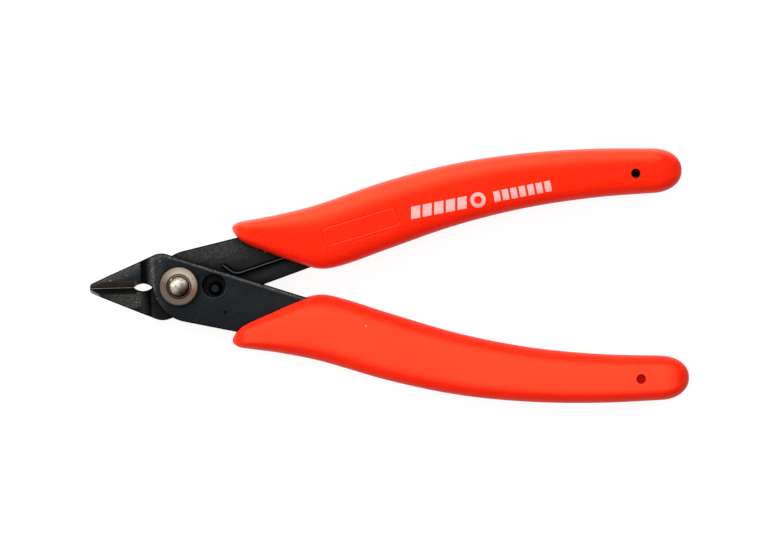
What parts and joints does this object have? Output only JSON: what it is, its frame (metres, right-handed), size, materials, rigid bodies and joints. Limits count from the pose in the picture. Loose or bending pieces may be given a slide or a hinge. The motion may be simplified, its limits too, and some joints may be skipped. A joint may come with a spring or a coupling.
{
  "type": "flush cut pliers",
  "caption": "Small lap-joint flush cutter with blackened sheet-steel levers, riveted pivot, wire return spring, stop pin and moulded grips.",
  "frame": {"origin": "bottom centre of the closed tool's bounding box, where it rests on a bench", "axes": "+X from the jaws to the ends of the handles, +Y towards the handle of the rear lever, +Z along the pivot axis towards the peened end of the rivet"},
  "size_m": [0.1292, 0.0552, 0.0096],
  "materials": {
    "black_steel": "satin",
    "plated_steel": "satin",
    "spring_wire": "satin",
    "grip_plastic": "satin"
  },
  "bodies": {
    "front_half": {"front_lever": "black_steel", "front_grip": "grip_plastic"},
    "rear_half": {"rear_lever": "black_steel", "rear_grip": "grip_plastic", "stop_pin": "black_steel", "pivot_rivet": "plated_steel", "front_washer": "plated_steel", "rear_washer": "plated_steel"},
    "spring": {"return_spring": "spring_wire"}
  },
  "joints": [
    {"name": "pivot", "type": "hinge", "parent": "front_half", "child": "rear_half", "pos_m": [-0.04515, 0, 0.0048], "axis": [0, 0, 1], "range_deg": [0, 15]},
    {"name": "spring_flex", "type": "hinge", "parent": "rear_half", "child": "spring", "pos_m": [-0.00665, 0.0104, 0.0048], "axis": [0, 0, 1], "range_deg": [0, 7]}
  ],
  "couplings": [
    {"joint": "spring_flex", "follows": "pivot", "ratio": 0.46}
  ]
}
